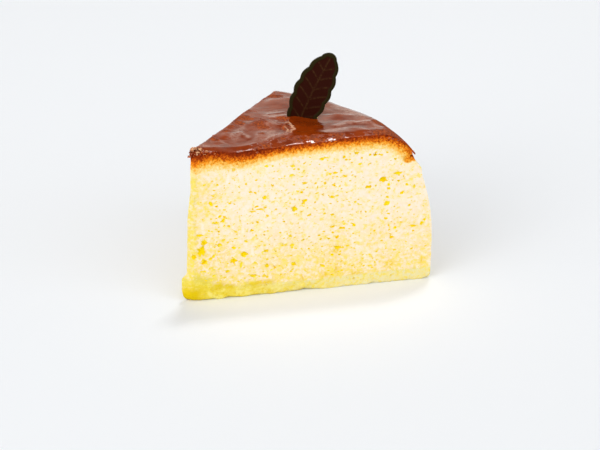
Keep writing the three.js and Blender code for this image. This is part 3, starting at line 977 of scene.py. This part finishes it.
def cutHollows(crumb):
    build = crumbBuild
    frontTurn = -form["angle"] / 2
    halfHeights, most, share = build["hollowDepth"]
    cutters = []
    for number, (reach, height, halfLength, halfHeight) in enumerate(build["hollows"]):
        x, y, z = place(np.array([reach]), np.array([0]), np.array([height]))
        centre = Vector((float(x[0]) + tipX, float(y[0]), float(z[0])))
        depth = min(halfLength, halfHeights * halfHeight, most) * share
        size = (halfLength * build["hollowGrowth"], depth, halfHeight * build["hollowGrowth"])
        seed = build["hollowSeeds"] * number
        cutters.append(blob("pore", centre, size, frontTurn, seed, poreStuff))
    cutAway(crumb, joined(cutters, "hollows"))
    reach, height = shoulderPoint(build["tearTurn"], 0, build["tearLift"])
    centre = Vector((reach * math.cos(frontTurn) + tipX, reach * math.sin(frontTurn), height))
    tear = blob("tear", centre, build["tearSize"], frontTurn, build["tearSeed"], crumbStuff)
    cutAway(crumb, tear)


def poreChance(mesh):
    build = crumbBuild
    at = measuresOf(mesh)
    reach, z = at["reach"], at["height"]
    at["crust"] = crustDepth(at)
    at["above"] = z - layerLine(reach, at["across"])
    at["inside"] = form["radius"] - reach
    fromMiddle, deepest = build["poreFaces"]
    onCut = (np.abs(at["across"] - 0.5) > fromMiddle) & (at["behind"] < deepest)
    x, y, up = pointsOf(mesh)
    clusters = bumps(build["clusters"], x, y, up + build["clusterSeed"])
    least, more = build["clusterShares"]
    crowding = least + more * ease(clusters, *build["clusterLimits"])
    less, *limits = build["fewerAtRim"]
    more, *lowLimits = build["moreLow"]
    crowding = crowding * (1 - less * ease(reach, *limits) + more * ease(z, *lowLimits))
    less, middle, width = build["gap"]
    gap = hump(reach - middle, width) * ease(z, *build["gapHeights"])
    crowding = crowding * (1 - less * gap)
    return np.clip(onCut * zone(build["poreZone"], at) * crowding, 0, 1)


def makeCrumb():
    build = crumbBuild
    crumb = bentBox("cheesecakeCrumb", crumbPoint, *build["steps"])
    crumb.data.materials.append(crumbStuff)
    cutHollows(crumb)
    for kind, values in pores.items():
        cutter = strewn(crumb, kind + "Pores", poreChance(crumb.data), values, poreStuff)
        print("pores", kind, len(cutter.data.polygons))
        cutAway(crumb, cutter)
    mesh = crumb.data
    at = measuresOf(mesh)
    mostCrust, mostDepth = build["mostMeasure"]
    setAttributes(
        mesh, crust=np.clip(crustDepth(at), 0, mostCrust),
        depthInCut=np.clip(at["behind"], 0, mostDepth),
        lowness=sum(amount * ease(at[name], *ends) for amount, name, *ends in build["lowness"]),
        yellowness=strongest(build["yellowness"], at),
    )
    setLayering(mesh)
    smoothPiece(crumb, 55)
    return crumb


crumb = makeCrumb()
print("crumb ready", len(crumb.data.polygons), len(crumb.data.vertices))


# the browned skin with its glaze

def fromSegment(x, y, start, end):  # distance from a line piece on the top
    along = np.array(end) - np.array(start)
    share = ((x - start[0]) * along[0] + (y - start[1]) * along[1]) / (along @ along)
    share = np.clip(share, 0, 1)
    return np.hypot(x - start[0] - share * along[0], y - start[1] - share * along[1])


def scarring(x, y):
    build = skinBuild
    bent = flatBumps(build["scarBend"], x, y)
    total = np.zeros_like(x)
    for start, end, strength in build["scars"]:
        distance = fromSegment(x + bent, y - bent, start, end)
        total = np.maximum(total, strength * hump(distance, build["scarWidth"]))
    return total


def foldHeight(x, y):
    build = skinBuild
    bent = flatBumps(build["foldBend"], x, y)  # so that folds wander
    total = build["scarHeight"] * scarring(x, y)
    for start, end, width, height in build["folds"]:
        total = total + height * hump(fromSegment(x + bent, y - bent, start, end), width)
    right, away = build["moundAxes"]
    for middle, sideways, halfWidth, run, height in build["mounds"]:
        toSide = (x - middle) * right[0] + (y - sideways) * right[1] + bent
        back = (x - middle) * away[0] + (y - sideways) * away[1] + build["moundBend"] * bent
        fall = ease(back, build["moundFall"], 0)
        rise = np.where(back < 0, np.clip(1 + back / run, 0, 1), fall)
        total = total + height * rise * hump(toSide, halfWidth)
    return total + flatBumps(build["wrinkles"], x, y)


def edgeDrop(reach, across, fromCut, unevenness):  # how far the skin lies lower at its edges
    build = skinBuild
    behind = across > 0.5
    toMiddle, toRim = (ease(reach, *ends) for ends in build["edgeChanges"])
    width, depth = (
        np.where(behind, back, mix(mix(nearTip, middle, toMiddle), nearRim, toRim))
        for nearTip, middle, nearRim, back in (build["edgeWidths"], build["edgeDrops"])
    )
    width = np.minimum(width, build["edgeMost"] * reach * form["angle"])
    inEdge = np.clip(1 - fromCut / np.maximum(width, 1e-3), 0, 1)
    even = build["evenShare"] * between(reach, *build["evenZone"]) * (1 - behind)
    curved = depth * (1 - np.sqrt(1 - inEdge ** 2 * build["edgeCurve"]))
    rounding = mix(curved, build["evenSlope"] * width * inEdge, even) * unevenness
    stripWidth = np.interp(reach, *zip(*build["strip"]))
    slope = mix(*build["stripSlope"], ease(reach, *build["stripSlopeLimits"]))
    high, after, halfWidth = build["stripBead"]
    bead = high * hump(fromCut - stripWidth - after, halfWidth) * ease(reach, *build["beadLimits"])
    strip = slope * np.maximum(0, stripWidth - fromCut) - bead
    high, halfWidth = build["edgeLift"]
    lift = high * hump(fromCut, halfWidth) * between(reach, *build["edgeLiftZone"])
    strip = strip * ease(reach, *build["stripEnd"]) - lift
    return rounding + np.where(behind, 0, strip)


def skinPoint(along, across, up):
    build = skinBuild
    flatShare = build["flatShare"]
    flat = np.clip(along / flatShare, 0, 1)
    share = np.clip((along - flatShare) / (1 - flatShare), 0, 1)
    onShoulder = along > flatShare
    ragged = flatBumps(build["endBumps"], across, build["endLine"]) + across * build["endSlant"]
    turn = share * (build["endTurn"] - build["ragged"] * ragged)
    thickness = skinThickness(turn)
    lip = ease(turn, *build["lipTurns"]) * ease(across, *build["lipAcross"])
    lift = cornerLift(turn, across) + build["lipLift"] * lip
    bentReach, bentHeight = shoulderPoint(turn, across, lift - (1 - up) * thickness)
    start = form["tipRound"] * build["tipStart"]
    flatReach = mix(start, form["radius"] - shoulderBend(across), flat)
    reach = np.where(onShoulder, bentReach, flatReach)
    height = np.where(onShoulder, bentHeight, form["height"] - (1 - up) * thickness)
    x, y, z = place(reach, across, height)
    fromCut = reach * np.sin(np.minimum(across, 1 - across) * form["angle"])
    drop = edgeDrop(reach, across, fromCut, 1 + flatBumps(build["edgeBumps"], x, y))
    drop = np.minimum(drop, build["deepest"] * thickness) * up
    tipDrop = build["tipDrop"] * ease(reach, *build["tipDropLimits"]) * up
    z = z + topRelief(reach, across, x, y) * (1 - ease(share, *build["reliefLimits"]))
    calm = zone(build["foldZone"], {"fromCut": fromCut, "reach": reach}) * up
    return x, y, z + foldHeight(x, y) * calm - drop - tipDrop


def stripBareness(at, x, y):
    build = skinBuild
    patches = ease(flatBumps(build["barePatches"], x, y), *build["patchLimits"])
    steps = build["patchSteps"]
    inner = sum(strength * patches * ease(at["reach"], *ends) for strength, *ends in steps)
    least, most = build["bareShares"]
    share = mix(least * ease(at["behind"], *build["bareBehind"]), most, inner)
    return zone(build["bareStrip"], at) * share


def makeSkin():
    build = skinBuild
    flats = np.linspace(0, build["flatShare"], build["flatSteps"] + 1)
    bends = np.linspace(build["flatShare"], 1, build["shoulderSteps"] + 1)[1:]
    even = np.linspace(-1, 1, build["acrossSteps"] + 1)
    crowded = np.sign(even) * (1 - (1 - np.abs(even)) ** build["edgeCrowding"])
    skin = bentBox("glazedSkin", skinPoint, np.concatenate([flats, bends]), 0.5 + 0.5 * crowded, 2)
    mesh = skin.data
    at = measuresOf(mesh)
    x, y, z = pointsOf(mesh)
    at["inStrip"] = np.interp(at["reach"], *zip(*build["strip"])) - at["behind"]
    bareness = np.maximum(strongest(build["bareZones"], at), stripBareness(at, x, y))
    for middle, sideways, radius, strength in build["dull"]:
        dull = strength * hump(np.hypot(x - middle, y - sideways), radius)
        bareness = np.maximum(bareness, dull)
    # painted reflection: where the glaze is painted paler, as if it mirrored the bright backdrop
    haze = np.zeros_like(x)
    bent = flatBumps(build["hazeBend"], x, y)
    for start, end, width in build["hazes"]:
        haze = np.maximum(haze, hump(fromSegment(x + bent, y - bent, start, end), width))
    haze = haze * (1 - strongest([build["hazeOffStrip"]], at))
    strength, *limits = build["scarColour"]
    setAttributes(
        mesh, haze=haze * (1 - bareness) * ease(z, *build["hazeHeights"]),
        bareness=np.clip(bareness, 0, 1), scar=strength * ease(scarring(x, y), *limits),
        crust=np.clip(crustDepth(at), 0, crumbBuild["mostMeasure"][0]),
    )
    mesh.materials.append(skinStuff)
    mesh.materials.append(crumbStuff)
    normals = np.zeros(len(mesh.polygons) * 3)
    mesh.polygons.foreach_get("normal", normals)
    cutSides = np.abs(normals[1::3]) > build["sideNormal"]
    mesh.polygons.foreach_set("material_index", cutSides.astype(np.int32))
    smoothPiece(skin)
    return skin


skin = makeSkin()
print("skin ready", len(skin.data.polygons))


# the sponge base

baseBuild = {
    "steps": (190, 36, 14),  # along, across, up
    "lowCrowding": 1.6, "gap": 0.02,
    "edgeWaves": (7, (2.2, 8), (1.2, 2.6)),  # seed, then amounts and lengths
    "waveSpread": 20, "meanWave": 1.1, "leastWave": 0.3, "mostRound": 0.8,
}


def edgeInset(height, radius):  # how far a rounded bottom edge lies inside its side
    below = np.clip(1 - height / radius, 0, 1)
    return radius * (1 - np.sqrt(1 - below ** 2))


def basePoint(along, across, up):
    build = baseBuild
    reach = mix(form["tipRound"], form["radius"], along)
    height = (layerLine(reach, across) - build["gap"]) * up ** build["lowCrowding"]
    x, y, z = place(reach, across, height)
    wave = build["meanWave"] + flatBumps(build["edgeWaves"], reach, across * build["waveSpread"])
    sideRound = form["baseEdgeRound"] * np.maximum(build["leastWave"], wave)
    endRound = sideRound + form["footEdgeRound"] * np.exp(-reach / form["footEdgeFade"])
    half = form["angle"] / 2
    sideRound = np.minimum(sideRound, build["mostRound"] * reach * math.sin(half))
    side = 2 * across - 1
    sideInset = edgeInset(height, sideRound)
    x = x + edgeInset(height, endRound) * (1 - 2 * along) + sideInset * side ** 2 * math.sin(half)
    return x, y - sideInset * side * math.cos(half), z


def makeBase():
    base = bentBox("spongeBase", basePoint, *baseBuild["steps"])
    base.data.materials.append(spongeStuff)
    setLayering(base.data)
    smoothPiece(base)
    return base


base = makeBase()
print("base ready", len(base.data.polygons))


# the chocolate leaf

leafBuild = {
    "alongSteps": 170, "endCrowding": 0.15, "ends": (0.0008, 0.9992),
    "acrossSteps": 56, "edgeCrowding": 0.92, "faces": (-1, -0.6, 0.6, 1),
    "length": 34.4, "halfWidth": 6, "fullness": 0.52, "skew": 1.1, "bow": 0.62,
    "thickness": 1.8, "scallop": 0.6, "scallopLength": 5.46, "scallopStart": (0.35, 0.48),
    "margin": 0.2, "edgeRound": 0.45, "edgeCurve": 0.999, "edgeShare": 0.8, "bluntEnd": 0.05,
    "border": (1.2, 1.5), "panelSink": 0.14,
    "sideVeins": 6, "veinRoots": (0.22, 0.58), "veinRise": (0.85, 0.04), "veinWidth": 0.22,
    "midribShare": 1.3, "veinSlant": 0.75, "veinLimits": (1.35, 1.95), "veinHeight": 0.08,
    "foot": (54, 1.8), "sunk": 8.2,
    "turn": math.radians(-43.5), "lean": math.radians(23.3),
}


def leafHalf(share, side):  # from the leaf's middle line to its left (below 0) or right edge
    build = leafBuild
    body = build["halfWidth"] * np.sin(math.pi * share ** build["skew"]) ** build["fullness"]
    start = np.where(side < 0, *build["scallopStart"])
    waves = np.abs(np.cos(math.pi * (share * build["length"] / build["scallopLength"] - start)))
    waves = build["scallop"] * waves * ease(body, 0, build["halfWidth"] / 2)
    return body + waves + build["margin"]


def leafVeins(width, height):  # 1 on a midrib and its side veins, 0 between
    build = leafBuild
    veins = hump(width, build["veinWidth"] * build["midribShare"])
    first, span = build["veinRoots"]
    straight, curved = build["veinRise"]
    for number in range(build["sideVeins"]):
        root = build["length"] * (first + span * number / (build["sideVeins"] - 1))
        rise = height - root - straight * np.abs(width) + curved * width ** 2
        veins = np.maximum(veins, hump(rise * build["veinSlant"], build["veinWidth"]))
    return veins


def makeLeaf():
    build = leafBuild
    even = np.linspace(0, 1, build["alongSteps"] + 1)
    shares = mix(even, 0.5 - 0.5 * np.cos(math.pi * even), build["endCrowding"])
    sides = np.linspace(-1, 1, build["acrossSteps"] + 1) * math.pi / 2 * build["edgeCrowding"]
    sides = np.sin(sides)
    fields = {}

    def leafPoint(share, side, face):
        half = leafHalf(share, side)
        width = half * side
        height = share * build["length"]
        toEdge = half - np.abs(width)
        toEnd = np.minimum(height, build["length"] - height)
        fromEdge = np.minimum(toEdge, toEnd)
        fields["border"] = 1 - ease(fromEdge, *build["border"])
        fields["vein"] = leafVeins(width, height) * ease(fromEdge, *build["veinLimits"])
        fromEdge = np.minimum(toEdge, toEnd + build["bluntEnd"])
        inEdge = np.clip(1 - fromEdge / build["edgeRound"], 0, 1)
        rounding = build["edgeRound"] * (1 - np.sqrt(1 - inEdge ** 2 * build["edgeCurve"]))
        thick = build["thickness"] / 2 - rounding * build["edgeShare"]
        thick = thick - build["panelSink"] * ease(fromEdge, *build["border"])
        veins = leafVeins(width, height) * ease(fromEdge, *build["veinLimits"])
        depth = face * (thick + build["veinHeight"] * veins)
        height = height - build["sunk"]
        width = width - build["bow"] * np.sin(math.pi * share)
        u = width * math.cos(build["lean"]) + height * math.sin(build["lean"])
        z = height * math.cos(build["lean"]) - width * math.sin(build["lean"]) + form["height"]
        turn = build["turn"]
        x = u * math.cos(turn) - depth * math.sin(turn) + build["foot"][0]
        y = u * math.sin(turn) + depth * math.cos(turn) + build["foot"][1]
        return x, y, z

    leaf = bentBox(
        "chocolateLeaf", leafPoint, np.clip(shares, *build["ends"]), sides / sides[-1],
        np.array(build["faces"]),
    )
    leaf.data.flip_normals()
    leaf.data.materials.append(leafStuff)
    setAttributes(leaf.data, **fields)
    smoothPiece(leaf)
    return leaf


leaf = makeLeaf()
print("leaf ready", len(leaf.data.polygons))


# loose grains and crumbs

grains = {
    "browned": (0.45, 160, 0.12, 0.42, 1.1, 0.8, 0.2, 2, 21),
    "tip": (0.5, 160, 0.15, 0.5, 1.1, 0.8, 0.25, 2, 23),
    "yellow": (1.4, 8, 0.16, 0.45, 1.2, 0.6, 0.25, 2, 31),
}
# where they lie
grainPlaces = {
    "browned": {"behind": (1.6, 0.3)}, "brownedDown": 4,
    "brownedTip": (9, 2), "brownedElsewhere": 0.12, "brownedRim": (0.25, 66, 72),
    "tip": {"reach": (6.5, 3.5), "behind": (1.8, 0.6)}, "tipDown": 3.2, "tipAcross": 0.6,
    "yellow": {"behind": (0.8, -0.1), "height": (0.8, 1.6), "reach": (1.5, 4)},
}
# single lumps seen in the photo: centre, size, seed, and what they are made of
singles = {
    "flake": ((-0.55, 0.4, 54.6), (0.55, 0.4, 0.4), 7, brownGrainStuff),
    "tipGrain": ((0.5, 0.2, 57), (0.7, 0.6, 0.6), 13, paleGrainStuff),
    "tipGrainBehind": ((2, 0.2, 57.1), (0.6, 0.6, 0.45), 17, paleGrainStuff),
    "tipGrainBeside": ((3.4, -0.7, 56.9), (0.7, 0.5, 0.35), 19, paleGrainStuff),
    "leafCrumb": ((57.2, -1.5, 57.5), (0.9, 0.6, 0.5), 9, yellowCrumbStuff),
}
singleTurn = -0.75  # radians


def makeGrains():
    places = grainPlaces
    at = measuresOf(skin.data)
    reach, z = at["reach"], at["height"]
    nearFront = zone(places["browned"], at) * (z > form["height"] - places["brownedDown"])
    share, *limits = places["brownedRim"]
    chance = nearFront * (places["brownedElsewhere"] + ease(reach, *places["brownedTip"]))
    chance = np.clip(chance + share * nearFront * ease(reach, *limits), 0, 1)
    browned = strewn(skin, "brownedGrains", chance, grains["browned"], brownGrainStuff)
    high = z > form["height"] - places["tipDown"]
    chance = zone(places["tip"], at) * high * (at["across"] < places["tipAcross"])
    pale = strewn(skin, "paleGrains", chance, grains["tip"], paleGrainStuff)
    chance = zone(places["yellow"], measuresOf(base.data))
    yellow = strewn(base, "yellowCrumbs", chance, grains["yellow"], yellowCrumbStuff)
    return joined([browned, pale], browned.name), yellow


brownedGrains, yellowCrumbs = makeGrains()
for name, (centre, size, seed, material) in singles.items():
    centre = Vector(centre) + Vector((tipX, 0, 0))
    single = blob(name, centre, size, singleTurn, seed, material)
    if material is yellowCrumbStuff:
        yellowCrumbs = joined([yellowCrumbs, single], yellowCrumbs.name)
    else:
        brownedGrains = joined([brownedGrains, single], brownedGrains.name)
print("grains ready", len(brownedGrains.data.polygons), len(yellowCrumbs.data.polygons))

for piece, slot in (
    (crumb, "crumb"), (skin, "crumb"), (base, "sponge"), (leaf, "chocolate"),
    (brownedGrains, "crumb"), (yellowCrumbs, "sponge"),
):
    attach(piece, "root")
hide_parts("cheese_crumb")
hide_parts("sponge_base")
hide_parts("chocolate_leaf")


# floor, light and camera

studio = {
    "floor": paint(236, 239, 243), "floorRoughness": 0.7, "floorHalf": 6,  # metres
    "skyHorizon": (1.24, 1.16, 1.08, 1), "skyLow": (0.68, 0.64, 0.56, 1),  # behind the slice
    "skyLowEdge": (0, 0.36),
    "skyHigh": (0.1, 0.1, 0.1, 1), "skyEdge": (0.42, 0.58),
    "skyFront": (1.36, 1.36, 1.36, 1), "skyFrontEdge": (-0.05, 0.3),  # on the camera's side
    "cameraAzimuth": math.radians(-43.515),
    "cameraElevation": math.radians(20.78),
    "cameraRoll": math.radians(1.38),
    "cameraDistance": 874,
    "cameraAim": (-17.01, -26.38, 30.34),
    "lens": 150, "sensor": 36, "clip": 0.05,
    "lampAim": 30,
}
# lights: direction as the camera sees it (right, away, up), distance (m), size (m), watts
lamps = {
    "overhead": ((0.1, 0.34, 0.93), 1.2, 0.2, 4.2),
    "front left": ((-0.5, -0.8, 0.35), 1.5, 0.8, 7),
}


def cameraFrame():
    turn, rise = studio["cameraAzimuth"], studio["cameraElevation"]
    right = Vector((math.cos(turn), math.sin(turn), 0))
    away = Vector((-math.sin(turn), math.cos(turn), 0))
    forward = away * math.cos(rise) - Vector((0, 0, math.sin(rise)))
    return right, away, forward


def makeFloor():
    mesh = bpy.data.meshes.new("floor")
    corners = [(-1, -1), (1, -1), (1, 1), (-1, 1)]
    half = studio["floorHalf"]
    mesh.from_pydata([(half * x, half * y, 0) for x, y in corners], [], [(0, 1, 2, 3)])
    material, tree = newMaterial("pale floor")
    finishMaterial(tree, studio["floor"], studio["floorRoughness"])
    mesh.materials.append(material)
    newObject("floor", mesh)


def makeSky():
    world = bpy.data.worlds.new("studio")
    bpy.context.scene.world = world
    world.use_nodes = True
    tree = world.node_tree
    tree.nodes.clear()
    direction = newNode(tree, "ShaderNodeTexCoord").outputs["Generated"]
    up = newNode(tree, "ShaderNodeSeparateXYZ", {0: direction}).outputs["Z"]
    low = rangeOf(up, *studio["skyLowEdge"])
    low = blendColours(low, studio["skyHorizon"], studio["skyLow"])
    behind = blendColours(rangeOf(up, *studio["skyEdge"]), low, studio["skyHigh"])
    inputs = {0: direction, 1: -cameraFrame()[1]}
    toward = newNode(tree, "ShaderNodeVectorMath", inputs, operation="DOT_PRODUCT").outputs["Value"]
    front = rangeOf(toward, *studio["skyFrontEdge"])
    colour = blendColours(front, behind, studio["skyFront"])
    background = newNode(tree, "ShaderNodeBackground", {"Color": colour, "Strength": 1})
    newNode(tree, "ShaderNodeOutputWorld", {"Surface": background.outputs[0]})


def makeCamera():
    right, forward = cameraFrame()[::2]
    roll = studio["cameraRoll"]
    level = right.cross(forward)
    rolledRight = right * math.cos(roll) + level * math.sin(roll)
    rolledUp = level * math.cos(roll) - right * math.sin(roll)
    data = bpy.data.cameras.new("photo camera")
    data.lens = studio["lens"]
    data.sensor_width = studio["sensor"]
    data.clip_start = studio["clip"]
    camera = newObject("photo camera", data)
    position = Vector(studio["cameraAim"]) * mm - forward * studio["cameraDistance"] * mm
    facing = Matrix((rolledRight, rolledUp, -forward)).transposed()
    camera.matrix_world = Matrix.Translation(position) @ facing.to_4x4()
    bpy.context.scene.camera = camera


def makeLamps():
    right, away = cameraFrame()[:2]
    aim = Vector((0, 0, studio["lampAim"] * mm))
    for name, ((toRight, back, up), distance, size, watts) in lamps.items():
        toward = (right * toRight + away * back + Vector((0, 0, up))).normalized()
        data = bpy.data.lights.new(name, "AREA")
        data.size = size
        data.energy = watts
        lamp = newObject(name, data)
        lamp.location = aim + toward * distance
        lamp.rotation_euler = toward.to_track_quat("Z", "Y").to_euler()


makeFloor()
makeSky()
makeCamera()
makeLamps()
bpy.context.scene.view_settings.view_transform = "Standard"
print("studio ready")
